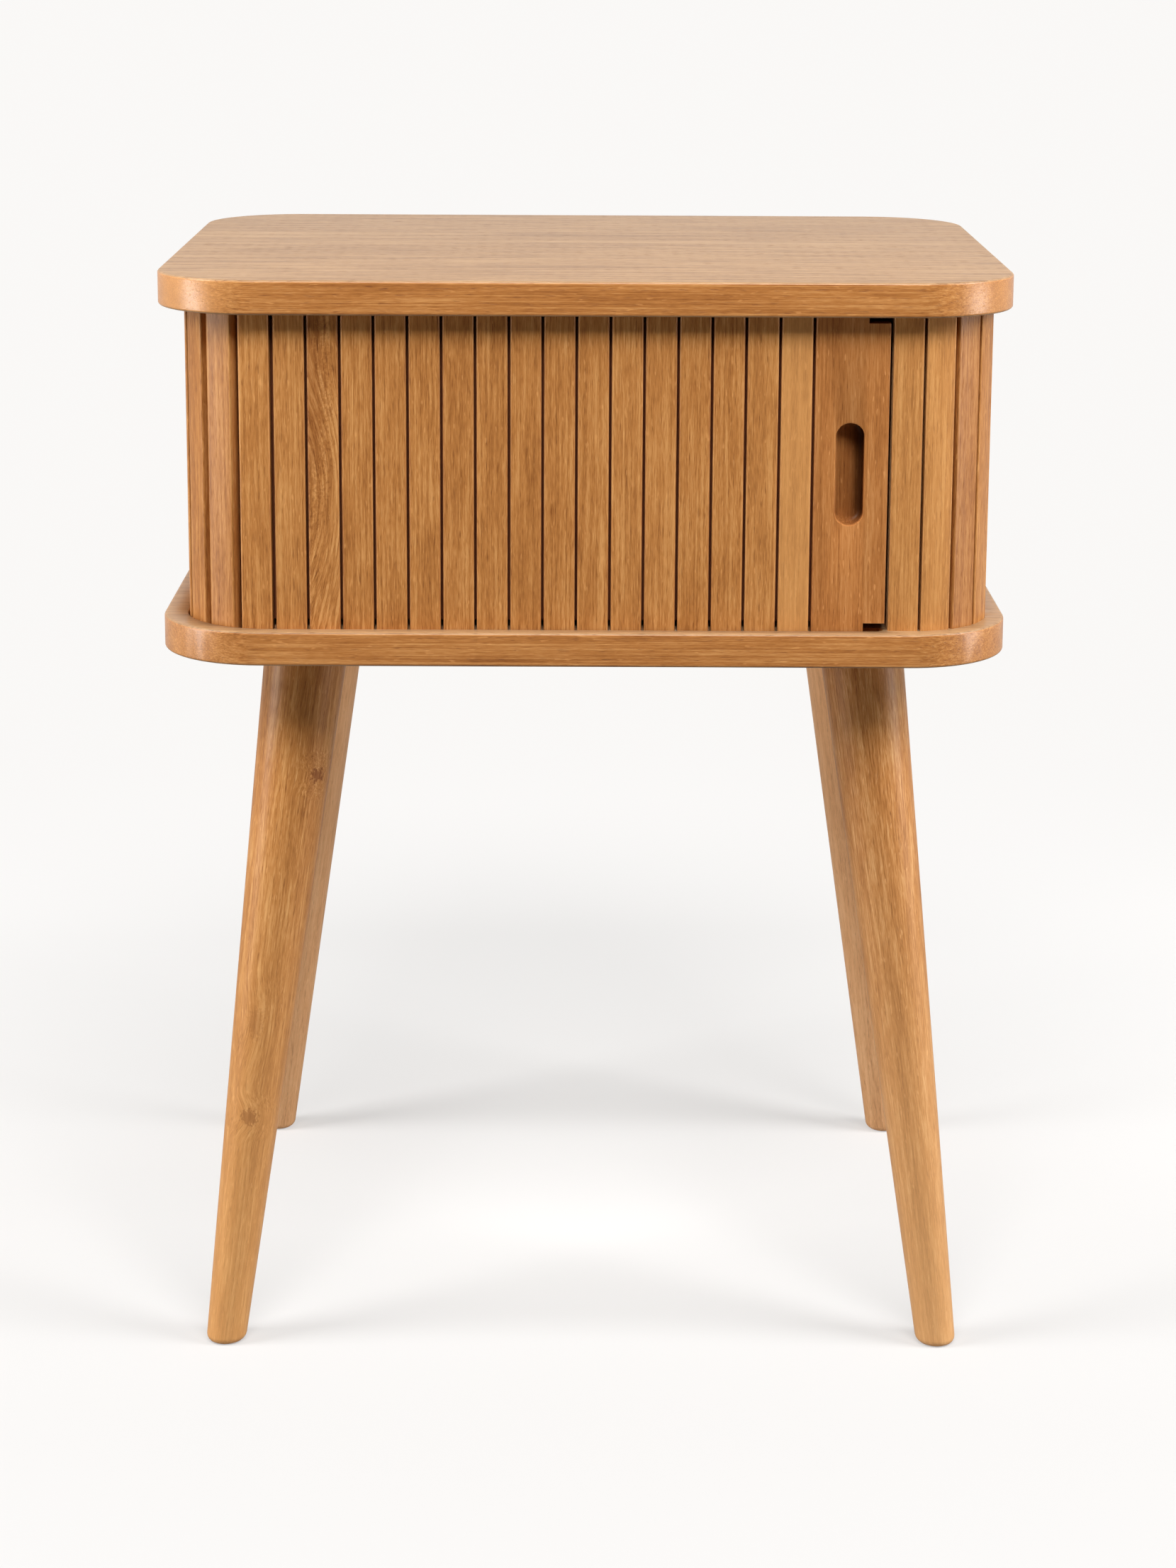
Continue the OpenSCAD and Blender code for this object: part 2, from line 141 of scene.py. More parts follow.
def block(name, low, high):
    """A squared block between two corners."""
    deselect()
    low, high = Vector(low), Vector(high)
    bpy.ops.mesh.primitive_cube_add(size=1, location=(low + high) / 2)
    piece = bpy.context.object
    piece.name = name
    piece.scale = high - low
    settle(piece)
    return piece


def near(a, b, within=1e-5):
    return abs(a - b) < within


def bevel_edges(piece, wanted, width, steps):
    """Rounds the edges whose two ends pass the test."""
    pick(piece)
    bpy.ops.object.mode_set(mode="EDIT")
    bpy.ops.mesh.select_mode(type="EDGE")
    bpy.ops.mesh.select_all(action="DESELECT")
    form = bmesh.from_edit_mesh(piece.data)
    for edge in form.edges:
        edge.select_set(wanted(edge.verts[0].co, edge.verts[1].co))
    bmesh.update_edit_mesh(piece.data)
    bpy.ops.mesh.bevel(offset=width, segments=steps, profile=0.5, affect="EDGES",
                       clamp_overlap=False)
    bpy.ops.object.mode_set(mode="OBJECT")


def smooth(piece, degrees=40):
    pick(piece)
    bpy.ops.object.shade_smooth_by_angle(angle=math.radians(degrees))


def carve(piece, tool, operation):
    """Cuts the tool out of the piece, or joins it on, and clears the tool away."""
    pick(piece)
    cut = piece.modifiers.new("cut", "BOOLEAN")
    cut.object = tool
    cut.operation = operation
    cut.solver = "EXACT"
    bpy.ops.object.modifier_apply(modifier="cut")
    bpy.data.objects.remove(tool)


def copy_of(piece, name):
    """A copy with a mesh of its own."""
    pick(piece)
    bpy.ops.object.duplicate(linked=False)
    twin = bpy.context.object
    twin.name = name
    return twin


def join(name, parts):
    """Several solids as one piece."""
    deselect()
    for part in parts:
        part.select_set(True)
    bpy.context.view_layer.objects.active = parts[0]
    bpy.ops.object.join()
    parts[0].name = name
    return parts[0]


def from_solid(node, name):
    """A merged copy of a CAD node, with smooth faces round its curves."""
    twin = bpy.data.objects.new(name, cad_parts[node].data.copy())
    bpy.context.scene.collection.objects.link(twin)
    pick(twin)
    bpy.ops.object.mode_set(mode="EDIT")
    bpy.ops.mesh.select_all(action="SELECT")
    bpy.ops.mesh.remove_doubles(threshold=1e-6)
    bpy.ops.object.mode_set(mode="OBJECT")
    smooth(twin, 30)
    return twin


def dress(piece, material):
    piece.data.materials.clear()
    piece.data.materials.append(material)


def set_in(piece, slot, *nodes, body="carcase"):
    """Puts a finished piece on its body, in the place of its CAD nodes."""
    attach(piece, body)
    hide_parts(*nodes)


# ---------------------------------------------------------------- how wood is laid out

UPRIGHT = Matrix.Identity(3)
ALONG_X = Matrix(((0, 1, 0), (0, 0, 1), (1, 0, 0)))


def lay_grain(piece, turn, start, shift, tone, far_tone=None, length=1.0):
    """Stores where each point lies in the tree the piece was sawn from: Z runs along the
    grain, X and Y across it. turn takes the piece's own directions to those of the tree.
    The tone may change along the piece, to far_tone at its far end."""
    lain = [turn @ (v.co - Vector(start)) for v in piece.data.vertices]
    grain = piece.data.attributes.new("grain", "FLOAT_VECTOR", "POINT")
    grain.data.foreach_set("vector", [c for p in lain for c in p + Vector(shift)])
    shade = piece.data.attributes.new("tone", "FLOAT", "POINT")
    change = 0.0 if far_tone is None else far_tone - tone
    shade.data.foreach_set("value", [tone + change * p.z / length for p in lain])


def tones_of(piece):
    """Each point of a laid-out piece, with its tone."""
    return zip(piece.data.vertices, piece.data.attributes["tone"].data)


# ---------------------------------------------------------------- material tools

def new_material(name):
    material = bpy.data.materials.new(name)
    material.use_nodes = True
    tree = material.node_tree
    return material, tree, tree.nodes["Principled BSDF"]


def put(tree, kind, settings=(), **inputs):
    """Adds a node, sets its options, and sets or links its inputs. An input goes by its
    name, with _ for a blank, or by i and its number. Returns the node's outputs."""
    made = tree.nodes.new(kind)
    for key, value in dict(settings).items():
        setattr(made, key, value)
    for key, value in inputs.items():
        numbered = key[0] == "i" and key[1:].isdigit()
        socket = made.inputs[int(key[1:]) if numbered else key.replace("_", " ")]
        if isinstance(value, bpy.types.NodeSocket):
            tree.links.new(value, socket)
        else:
            socket.default_value = value
    return made.outputs


def math_node(tree, operation, a, b):
    return put(tree, "ShaderNodeMath", {"operation": operation}, i0=a, i1=b)[0]


def vector_node(tree, operation, a, **inputs):
    return put(tree, "ShaderNodeVectorMath", {"operation": operation}, i0=a, **inputs)


def total(tree, *shares):
    """The sum of several patterns, each times its share."""
    summed = None
    for pattern, share in shares:
        part = math_node(tree, "MULTIPLY", pattern, share)
        summed = part if summed is None else math_node(tree, "ADD", summed, part)
    return summed


def stretch(tree, vector, scale, place=(0, 0, 0)):
    """Coordinates packed closer or wider, and moved to another place in the pattern."""
    return put(tree, "ShaderNodeMapping", {"vector_type": "POINT"}, Vector=vector,
               Scale=scale, Location=place)[0]


def strands(tree, vector, across, along, place=(0, 0, 0), detail=2.0, rough=0.5):
    """Noise that is packed differently across Z and along it."""
    packed = stretch(tree, vector, (across, across, along), place)
    return put(tree, "ShaderNodeTexNoise", Vector=packed, Scale=1.0, Detail=detail,
               Roughness=rough)["Fac"]


def spread(tree, value, low, high, to_low=0.0, to_high=1.0):
    """Value from low to high, remade from to_low to to_high with soft ends."""
    return put(tree, "ShaderNodeMapRange", {"interpolation_type": "SMOOTHSTEP"},
               i0=value, i1=low, i2=high, i3=to_low, i4=to_high)[0]


def ramp(tree, value, *stops):
    """Colours along a value. Each stop is a value and its colour."""
    made = tree.nodes.new("ShaderNodeValToRGB")
    tree.links.new(value, made.inputs[0])
    line = made.color_ramp
    while len(line.elements) < len(stops):
        line.elements.new(0.5)
    for stop, (place, colour) in zip(line.elements, stops):
        stop.position = place
        stop.color = (*colour, 1)
    return made.outputs["Color"]


def stain(tree, kind, amount, colour, dye):
    """Mixes or multiplies a plain colour into the one so far."""
    return put(tree, "ShaderNodeMix",
               {"data_type": "RGBA", "blend_type": kind, "clamp_result": True},
               i0=amount, i6=colour, i7=(*dye, 1))[2]


def scaled(colour, factor):
    """A colour made lighter or darker, within white."""
    return tuple(min(1.0, c * factor) for c in colour)


def relief(tree, shader, height, strength, distance):
    """Fine unevenness of a finish."""
    bump = put(tree, "ShaderNodeBump", Strength=strength, Distance=distance, Height=height)
    tree.links.new(bump[0], shader.inputs["Normal"])


# ---------------------------------------------------------------- oak

PORE_BROWN = (0.34, 0.22, 0.13)
KNOT_BROWN = (0.42, 0.26, 0.16)
DARK_STICK = (0.66, 0.58, 0.52)
# painted shade for the finger pull's recess
PAINTED_RECESS_SHADE = (0.14, 0.10, 0.07)
# the wave texture's rings are this wide at a scale of 1
WAVE_WIDTH = 0.314


def tree_place(tree, moved):
    """Where a point lies in its tree, and its tone. A CAD node stores neither, so its own
    coordinates are moved there, and it has no tone."""
    if moved is None:
        return (put(tree, "ShaderNodeAttribute", {"attribute_name": "grain"})["Vector"],
                put(tree, "ShaderNodeAttribute", {"attribute_name": "tone"})["Fac"])
    return stretch(tree, put(tree, "ShaderNodeTexCoord")["Object"], (1, 1, 1), moved), None


def grow_knots(tree, place, knots):
    """The place with the rings pushed aside by the knots, and how dark the knots are there.
    Each knot has a place, a width, a push, a length and a darkness."""
    bent, dark = place, None
    for spot, width, push, length, darkness in knots:
        offset = vector_node(tree, "SUBTRACT", place, i1=spot)[0]
        shaped = vector_node(tree, "MULTIPLY", offset, i1=(1 / width, 1 / width, 1 / length))[0]
        far = vector_node(tree, "LENGTH", shaped)[1]
        aside = vector_node(tree, "SCALE", (1, 0.4, 0),
                            Scale=spread(tree, far, 0.2, 3.4, push, 0.0))[0]
        bent = vector_node(tree, "ADD", bent, i1=aside)[0]
        # noise makes the knot's rim ragged
        torn = math_node(tree, "MULTIPLY",
                         strands(tree, place, 900, 600, detail=3.0, rough=0.6), 2.6)
        mask = spread(tree, math_node(tree, "ADD", far, torn), 1.90, 2.35, darkness, 0.0)
        dark = mask if dark is None else math_node(tree, "MAXIMUM", dark, mask)
    return bent, dark


def oak(name, dark, middle, pale, rings=0.0026, banding=0.16, gloss=0.40, shine=0.16,
        wander=5.0, pores=0.55, flecks=0.35, fibres=0.85, lines=0.46, moved=None, knots=()):
    """Lacquered oak. rings is the width of a growth ring and wander its waviness. banding,
    pores, flecks, fibres and lines say how strongly each of them shows."""
    material, tree, shader = new_material(name)
    place, tone = tree_place(tree, moved)
    bent, dark_knots = grow_knots(tree, place, knots)

    ring = put(tree, "ShaderNodeTexWave",
               {"wave_type": "RINGS", "rings_direction": "Z", "wave_profile": "SAW"},
               Vector=stretch(tree, bent, (1, 1, 0.07)), Scale=WAVE_WIDTH / rings,
               Distortion=wander, Detail=2.0, Detail_Scale=0.9, Detail_Roughness=0.55)["Fac"]
    growth = strands(tree, bent, 85, 6)
    patch = strands(tree, bent, 230, 24, (2, 6, 4), rough=0.55)
    fibre = strands(tree, bent, 2600, 150, rough=0.6)
    streak = strands(tree, bent, 1100, 50, (3, 1, 7), rough=0.6)
    line = strands(tree, bent, 1300, 9, (8, 5, 3), detail=1.0)
    pore = strands(tree, bent, 2000, 130, (5, 9, 2), detail=1.0)
    ray = strands(tree, place, 700, 150, (11, 4, 8), detail=1.0)

    early = math_node(tree, "MULTIPLY", spread(tree, ring, 0.05, 0.75),
                      spread(tree, patch, 0.38, 0.60))
    figure = total(tree, (early, banding), (growth, 0.42), (patch, 0.24), (streak, 0.34),
                   (line, lines), (fibre, fibres))
    figure = math_node(tree, "SUBTRACT", figure, lines / 2 + fibres / 2 + banding / 4)
    colour = ramp(tree, figure, (0.12, dark), (0.50, middle), (0.86, pale))

    # pores show more at the start of a ring than at its end
    open_pore = math_node(tree, "MULTIPLY", spread(tree, pore, 0.60, 0.72),
                          spread(tree, ring, 0.15, 0.65, 1.0, 0.35))
    colour = stain(tree, "MULTIPLY", math_node(tree, "MULTIPLY", open_pore, pores), colour,
                   PORE_BROWN)
    fleck = math_node(tree, "MULTIPLY", spread(tree, ray, 0.66, 0.76), flecks)
    colour = stain(tree, "MIX", fleck, colour, scaled(pale, 1.25))
    if dark_knots is not None:
        colour = stain(tree, "MULTIPLY", dark_knots, colour, KNOT_BROWN)
    if tone is not None:
        # a tone over 0 is paler and one under 0 darker. Only the finger pull's recess goes under
        # -1, and that is painted shade
        colour = stain(tree, "MIX", spread(tree, tone, 0.0, 1.0, 0.0, 0.65), colour,
                       scaled(pale, 1.1))
        colour = stain(tree, "MULTIPLY", spread(tree, tone, -1.0, 0.0, 0.8, 0.0), colour,
                       DARK_STICK)
        colour = stain(tree, "MULTIPLY", spread(tree, tone, -3.0, -0.6, 1.0, 0.0), colour,
                       PAINTED_RECESS_SHADE)
    tree.links.new(colour, shader.inputs["Base Color"])

    rough = math_node(tree, "ADD", total(tree, (open_pore, 0.22), (streak, 0.12)), gloss - 0.06)
    tree.links.new(rough, shader.inputs["Roughness"])
    shader.inputs["Specular IOR Level"].default_value = shine
    height = math_node(tree, "SUBTRACT", math_node(tree, "MULTIPLY", fibre, 0.5), open_pore)
    relief(tree, shader, height, 0.35, 0.00012)
    return material


SLAT_OAK = oak("slat_oak", (0.225, 0.075, 0.017), (0.445, 0.182, 0.048), (0.61, 0.300, 0.100),
               fibres=0.95)
SWIRL_OAK = oak("swirl_oak", (0.225, 0.075, 0.017), (0.455, 0.188, 0.051),
                (0.63, 0.315, 0.108), banding=0.30, wander=2.0, fibres=0.95,
                knots=(((0.0385, 0.046, 0.484), 0.0120, -0.004, 0.075, 0.42),
                       ((0.0385, 0.046, 0.430), 0.0120, -0.014, 0.024, 0.0)))
LEAD_OAK = oak("lead_oak", (0.225, 0.073, 0.017), (0.420, 0.162, 0.044), (0.56, 0.258, 0.088),
               flecks=0.5, fibres=0.7, banding=0.08)
EDGE_OAK = oak("board_edge_oak", (0.215, 0.066, 0.014), (0.430, 0.168, 0.042),
               (0.62, 0.300, 0.100), rings=0.0034, banding=0.06, wander=3.0, pores=0.6,
               shine=0.45, gloss=0.32, fibres=0.7, lines=0.75)
TOP_OAK = oak("board_face_oak", (0.17, 0.080, 0.034), (0.350, 0.194, 0.086),
              (0.45, 0.270, 0.133), rings=0.0040, wander=3.2, gloss=0.42, shine=0.4,
              pores=0.9, lines=0.95)
LEG_OAK = oak("leg_oak", (0.26, 0.090, 0.020), (0.475, 0.203, 0.060), (0.67, 0.370, 0.155),
              shine=0.2, lines=0.60)
# a paler copy of the leg oak: painted light on the back legs under the table
BACK_LEG_PAINTED_LIGHT_OAK = oak("back_leg_painted_light_oak", (0.46, 0.190, 0.070), (0.740, 0.380, 0.165),
                   (0.86, 0.500, 0.255), shine=0.2)
LEG_KNOT_OAK = oak("leg_knot_oak", (0.25, 0.084, 0.018), (0.450, 0.187, 0.050),
                   (0.64, 0.335, 0.122), shine=0.2, lines=0.55,
                   knots=(((0.0137, 0.0605, 0.318), 0.0052, 0.005, 0.0046, 0.85),
                          ((0.0245, 0.0711, 0.128), 0.0058, 0.005, 0.0048, 0.85),
                          ((0.0252, 0.0735, 0.180), 0.0050, 0.004, 0.0100, 0.35)))
INNER_OAK = oak("inner_oak", (0.36, 0.18, 0.075), (0.56, 0.32, 0.145), (0.70, 0.45, 0.23),
                rings=0.0032, gloss=0.45, moved=(0.05, 0.11, 0))
PANEL_OAK = oak("panel_oak", (0.32, 0.14, 0.05), (0.52, 0.25, 0.09), (0.66, 0.37, 0.16),
                rings=0.0034, gloss=0.42, moved=(0.09, 0.03, 0))
BEECH = oak("beech", (0.50, 0.32, 0.17), (0.64, 0.44, 0.25), (0.72, 0.52, 0.32), pores=0.1,
            flecks=0.3, gloss=0.6, moved=(0, 0, 0))


# ---------------------------------------------------------------- canvas and metal

def cloth(name, colour, threads=430.0):
    """A plain weave of dark threads."""
    material, tree, shader = new_material(name)
    own = put(tree, "ShaderNodeTexCoord")["Object"]
    weft, warp = (
        put(tree, "ShaderNodeTexWave", {"bands_direction": way}, Vector=vector, Scale=threads,
            Distortion=1.5, Detail=1.0)["Fac"]
        for way, vector in (("Z", own), ("DIAGONAL", stretch(tree, own, (1, 1, 0)))))
    weave = math_node(tree, "MULTIPLY", weft, warp)
    tree.links.new(ramp(tree, weave, (0.0, scaled(colour, 0.5)), (1.0, colour)),
                   shader.inputs["Base Color"])
    tree.links.new(spread(tree, weave, 0, 1, 0.95, 0.8), shader.inputs["Roughness"])
    relief(tree, shader, weave, 0.5, 0.0002)
    return material


def metal(name, colour, rough):
    """Turned and plated metal with faint scratches."""
    material, tree, shader = new_material(name)
    scratches = strands(tree, put(tree, "ShaderNodeTexCoord")["Object"], 300, 3000)
    tree.links.new(ramp(tree, scratches, (0.3, scaled(colour, 0.8)), (0.7, colour)),
                   shader.inputs["Base Color"])
    tree.links.new(spread(tree, scratches, 0.3, 0.7, rough, rough + 0.12),
                   shader.inputs["Roughness"])
    shader.inputs["Metallic"].default_value = 1.0
    return material


CANVAS = cloth("canvas", (0.40, 0.110, 0.034))
STEEL = metal("steel", (0.62, 0.62, 0.64), 0.3)
BRASS = metal("brass", (0.72, 0.55, 0.28), 0.32)

for node, material in {
        "outer_back_panel": PANEL_OAK, "liner_left": INNER_OAK, "liner_back": INNER_OAK,
        "liner_right": INNER_OAK, "liner_corner_front": INNER_OAK,
        "liner_corner_back": INNER_OAK, "post_front_right": INNER_OAK,
        "post_back_right": INNER_OAK, "band_canvas": CANVAS, "hanger_bolts": STEEL,
        "insert_nuts": BRASS, "dowels": BEECH}.items():
    dress(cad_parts[node], material)


# ---------------------------------------------------------------- boards

for node, slot, shift, low_z, face_painted_light, left_corner_highlight, right_corner_highlight in (
        ("top_board", "top_oak", (0.02, 0.095, 0.0), CEILING_Z, 0.0, 0.70, 0.42),
        ("bottom_board", "board_oak", (0.05, 0.105, 0.4), UNDER_Z, 0.5, 0.38, 0.25)):
    board = from_solid(node, node + "_oak")
    lay_grain(board, ALONG_X, (0, 0, UNDER_Z + BOARD_T / 2), shift, 0.0)
    # painted highlight: the rounded corners are paler, more so on the left, and the lower board's
    # face is painted paler as painted light
    for vertex, shade in tones_of(board):
        x, y, z = vertex.co
        if near(z, low_z, 1e-4) or near(z, low_z + BOARD_T, 1e-4):
            shade.value = face_painted_light
        else:
            bend = max(0.0, abs(x) - BOARD_X + BOARD_R) * max(0.0, abs(y) - BOARD_Y + BOARD_R)
            shade.value = (left_corner_highlight if x < 0 else right_corner_highlight) * min(1.0, 2 * bend / BOARD_R ** 2)
    dress(board, EDGE_OAK)
    board.data.materials.append(TOP_OAK)
    for face in board.data.polygons:
        lies_flat = abs(face.normal.z) > 0.55
        face.material_index = 1 if lies_flat else 0
    set_in(board, slot, node)


# ---------------------------------------------------------------- slats

def plain_slat(name, low_z, high_z, slope=0.0):
    """A slat with its back on y = 0 and its long edges rounded. Its back is narrower than
    its face by slope on each side."""
    slat = block(name, (-SLAT_W / 2, -SLAT_T, low_z), (SLAT_W / 2, 0, high_z))
    for vertex in slat.data.vertices:
        if near(vertex.co.y, 0):
            vertex.co.x -= math.copysign(slope, vertex.co.x)
    for y, width, steps in ((-SLAT_T, SLAT_FACE_ROUND, 5), (0, SLAT_BACK_ROUND, 2)):
        bevel_edges(slat, lambda a, b: near(a.y, y) and near(b.y, y) and near(a.x, b.x),
                    width, steps)
    return slat


def place_on_bend(s, cx, front_cy, back_cy, r):
    """Point and heading s metres past the start of the front bend."""
    bend, side = r * math.pi / 2, back_cy - front_cy
    if s <= 0:
        return (cx - s, front_cy - r), 0.0
    if s <= bend:
        a = s / r
        return (cx - r * math.sin(a), front_cy - r * math.cos(a)), -a
    if s <= bend + side:
        return (cx - r, front_cy + s - bend), -math.pi / 2
    if s <= 2 * bend + side:
        a = math.pi / 2 + (s - bend - side) / r
        return (cx - r * math.sin(a), back_cy - r * math.cos(a)), -a
    return (cx + s - 2 * bend - side, back_cy + r), -math.pi


def on_band(number):
    """Place and turn of a slat of the band. Number 0 is the first in the front bend, and
    the front slats count down from it."""
    return place_on_bend(BAND_LEAD_IN + number * SLAT_PITCH, BAND_CX, BAND_FRONT_CY,
                         BAND_BACK_CY, BAND_R)


def on_fixed(number):
    """Place and turn of a fixed slat. They are laid out along their faces, a slat's
    thickness in front of y = 0."""
    (x, y), turn = place_on_bend(number * SLAT_PITCH - FIXED_FLAT, -FIXED_CX, FIXED_FRONT_CY,
                                 FIXED_BACK_CY, FIXED_FACE_R)
    return (-x + SLAT_T * math.sin(turn), y + SLAT_T * math.cos(turn)), -turn


chance = random.Random(41)


def sawn_slat(pattern, name, place, tone=None, shift=None, material=SLAT_OAK):
    """One slat cut from a stick of its own and set in its place."""
    (x, y), turn = place
    slat = copy_of(pattern, name)
    if shift is None:
        # 35 to 110 mm from the heart of the tree
        around = chance.uniform(-0.5, 1.1)
        off = chance.uniform(0.035, 0.11)
        shift = (off * math.cos(around), off * math.sin(around), chance.uniform(-2, 2))
    if tone is None:
        tone = chance.uniform(-0.42, 0.30)
    lay_grain(slat, UPRIGHT, (0, 0, FLOOR_Z), shift, tone)
    slat.location = (x, y, 0)
    slat.rotation_euler = (0, 0, turn)
    settle(slat)
    smooth(slat)
    dress(slat, material)
    return slat


def slat_row(name, pattern, place, first, count, tones):
    """Slats that stay where they are, as one piece. tones are those listed."""
    slats = [sawn_slat(pattern, f"{name}_{i}", place(i), tones.get(i))
             for i in range(first, first + count)]
    set_in(join(name + "_oak", slats), "slat_oak", name)


# tone, place in the tree and oak of the front slats that stand out
FRONT_CHOSEN = {
    1: (0.20, None, SLAT_OAK), 2: (0.0, (0.0462, 0.052, 0.36), SWIRL_OAK),
    3: (-0.10, (0.060, 0.020, 0.1), SLAT_OAK), 8: (-0.15, None, SLAT_OAK),
    11: (0.15, None, SLAT_OAK), 12: (0.15, None, SLAT_OAK), 15: (0.22, None, SLAT_OAK),
    16: (0.60, (0.075, 0.018, 0.7), SLAT_OAK)}
# tones of the first slats in the left and in the right bend
BAND_TONES = {0: 0.10, 1: -0.35}
FIXED_TONES = {0: 0.38, 1: 0.45, 2: -0.60, 3: -0.20}

door_pattern = plain_slat("door_slat_pattern", SLAT_FOOT_Z, SLAT_HEAD_Z)
fixed_pattern = plain_slat("fixed_slat_pattern", FLOOR_Z, CEILING_Z, FIXED_SLOPE)

for i in range(1, FRONT_SLATS + 1):
    tone, shift, material = FRONT_CHOSEN.get(i, (chance.uniform(-0.2, 0.1), None, SLAT_OAK))
    slat = sawn_slat(door_pattern, f"front_slat_{i}_oak", on_band(-i), tone, shift, material)
    set_in(slat, "slat_oak", f"front_slat_{i}")
    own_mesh(slat)

for name, first, count in (("corner_slats", 0, 4), ("side_slats", 4, 13), ("tail_slats", 17, 5)):
    slat_row(name, door_pattern, on_band, first, count, BAND_TONES)

for name, first, count in (("fixed_corner_slats", 0, 4), ("fixed_side_slats", 4, 15),
                           ("fixed_back_slats", 19, 4)):
    slat_row(name, fixed_pattern, on_fixed, first, count, FIXED_TONES)

bpy.data.objects.remove(door_pattern)
bpy.data.objects.remove(fixed_pattern)

front_cloth = block("front_canvas_cloth", (FOLD_X, FRONT_Y, BETWEEN_Z[0]),
                    (LEAD_X[0] + CANVAS_LAP, FRONT_Y + CANVAS_T, BETWEEN_Z[1]))
dress(front_cloth, CANVAS)
set_in(front_cloth, "canvas", "front_canvas")
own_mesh(front_cloth)


# ---------------------------------------------------------------- lead slat and its strip

# painted shade in the finger pull's bottom: how dark it is, how that grows per metre to the
# right, and where behind the face it starts
PULL_PAINTED_SHADE = 1.0
PULL_PAINTED_SHADE_RIGHT = 200
PULL_PAINTED_SHADE_FROM = 0.001


def eased_bar(name, low, high, side_x, ease):
    """A bar with one of its upright outer edges eased."""
    bar = block(name, low, high)
    bevel_edges(bar, lambda a, b: near(a.y, low[1]) and near(b.y, low[1])
                and near(a.x, side_x) and near(b.x, side_x), ease, 3)
    return bar


def in_pull(point, spare=0.0):
    """Whether a point lies in the finger pull's width and height."""
    return (abs(point.x - PULL_X) <= PULL_W / 2 + spare
            and abs(point.z - PULL_Z) <= PULL_H / 2 + spare)


def pull_mill():
    """What is milled out of the lead slat. It stands out of the face, so that it cuts it."""
    bottom_y = FACE_Y + PULL_DEPTH
    mill = block("mill", (PULL_X - PULL_W / 2, FACE_Y - 0.004, PULL_Z - PULL_H / 2),
                 (PULL_X + PULL_W / 2, bottom_y, PULL_Z + PULL_H / 2))
    # the ends are all but half round
    bevel_edges(mill, lambda a, b: near(a.x, b.x) and near(a.z, b.z), PULL_W / 2 - 0.0001, 14)
    bevel_edges(mill, lambda a, b: near(a.y, bottom_y) and near(b.y, bottom_y),
                PULL_BOTTOM_ROUND, 6)
    for vertex in mill.data.vertices:
        if vertex.co.y > FACE_Y:
            vertex.co.y += (vertex.co.x - PULL_X) * PULL_SLANT - PULL_LIFT
    return mill


# the lead slat's ends run in the grooves, and its thick middle stands between the boards
lead = eased_bar("lead_slat_oak", (LEAD_X[0], FACE_Y, SLAT_FOOT_Z),
                 (LEAD_X[1], FRONT_Y, SLAT_HEAD_Z), LEAD_X[0], LEAD_ROUND)
middle = block("lead_middle", (LEAD_X[0] + LEAD_STEP, FACE_Y + LEAD_ROUND, FLOOR_Z + LEAD_GAP),
               (LEAD_X[1], FACE_Y + LEAD_T, CEILING_Z - LEAD_GAP))
carve(lead, middle, "UNION")
carve(lead, pull_mill(), "DIFFERENCE")
bevel_edges(lead, lambda a, b: near(a.y, FACE_Y) and near(b.y, FACE_Y)
            and in_pull(a, 0.0002) and in_pull(b, 0.0002), PULL_RIM_ROUND, 2)
lay_grain(lead, UPRIGHT, (0.133, FRONT_Y, FLOOR_Z), (0.050, 0.022, 1.3), -0.05)
# painted shade: the pull's bottom is darker the deeper it lies, and more so to the right
for vertex, shade in tones_of(lead):
    sunk = vertex.co.y - FACE_Y - PULL_PAINTED_SHADE_FROM
    if sunk > 0 and in_pull(vertex.co):
        darkness = PULL_PAINTED_SHADE + PULL_PAINTED_SHADE_RIGHT * (vertex.co.x - PULL_X)
        shade.value -= darkness * sunk / PULL_DEPTH
smooth(lead, 35)
dress(lead, LEAD_OAK)
set_in(lead, "lead_oak", "lead_slat", body="door_lead")

strip = eased_bar("lead_edge_strip_oak", (STRIP_X[0], FACE_Y, BETWEEN_Z[0]),
                  (STRIP_X[1], FACE_Y + LEAD_T, BETWEEN_Z[1]), STRIP_X[1], STRIP_ROUND)
lay_grain(strip, UPRIGHT, (0.152, FRONT_Y, FLOOR_Z), (0.070, 0.030, 0.4), -0.02)
smooth(strip)
dress(strip, LEAD_OAK)
set_in(strip, "lead_oak", "lead_edge_strip", body="door_lead")
